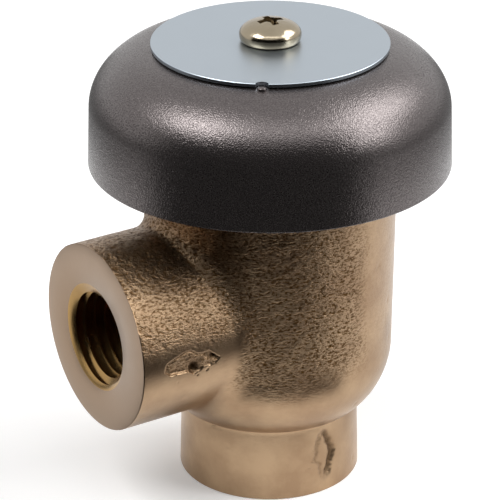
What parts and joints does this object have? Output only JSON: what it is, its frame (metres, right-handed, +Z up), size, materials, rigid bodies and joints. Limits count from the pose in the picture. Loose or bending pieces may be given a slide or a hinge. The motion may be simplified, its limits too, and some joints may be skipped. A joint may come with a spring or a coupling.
{
  "type": "vacuum breaker valve",
  "caption": "Bronze angle vacuum breaker with threaded inlet below, threaded side outlet, lifting poppet and a bell cap over the air vent.",
  "frame": {"origin": "centre of the inlet boss's bottom face, on the axis of the inlet thread", "axes": "+Z up the valve's axis from the inlet to the cap, -X out of the outlet"},
  "size_m": [0.0496, 0.0466, 0.0624],
  "materials": {
    "cast_bronze": "sand-cast and tumbled, machined port faces",
    "turned_brass": "turned",
    "black_rubber": "matte",
    "white_acetal": "moulded",
    "red_silicone": "moulded, matte",
    "stainless": "turned",
    "pewter_paint": "fine metallic paint, satin",
    "plate_aluminium": "satin sheet",
    "plated_brass": "bright plating"
  },
  "bodies": {
    "valve_body": {"body": "cast_bronze", "bonnet": "turned_brass", "bonnet_o_ring": "black_rubber", "cap": "pewter_paint", "nameplate": "plate_aluminium", "cap_screw": "plated_brass"},
    "float": {"poppet": "white_acetal", "inlet_disc": "red_silicone", "vent_disc": "red_silicone", "disc_washer": "stainless", "disc_nut": "stainless", "guide_stem": "stainless"}
  },
  "joints": [
    {"name": "float_lift", "type": "slide", "parent": "valve_body", "child": "float", "axis": [0, 0, 1], "range_m": [0, 0.005]}
  ]
}
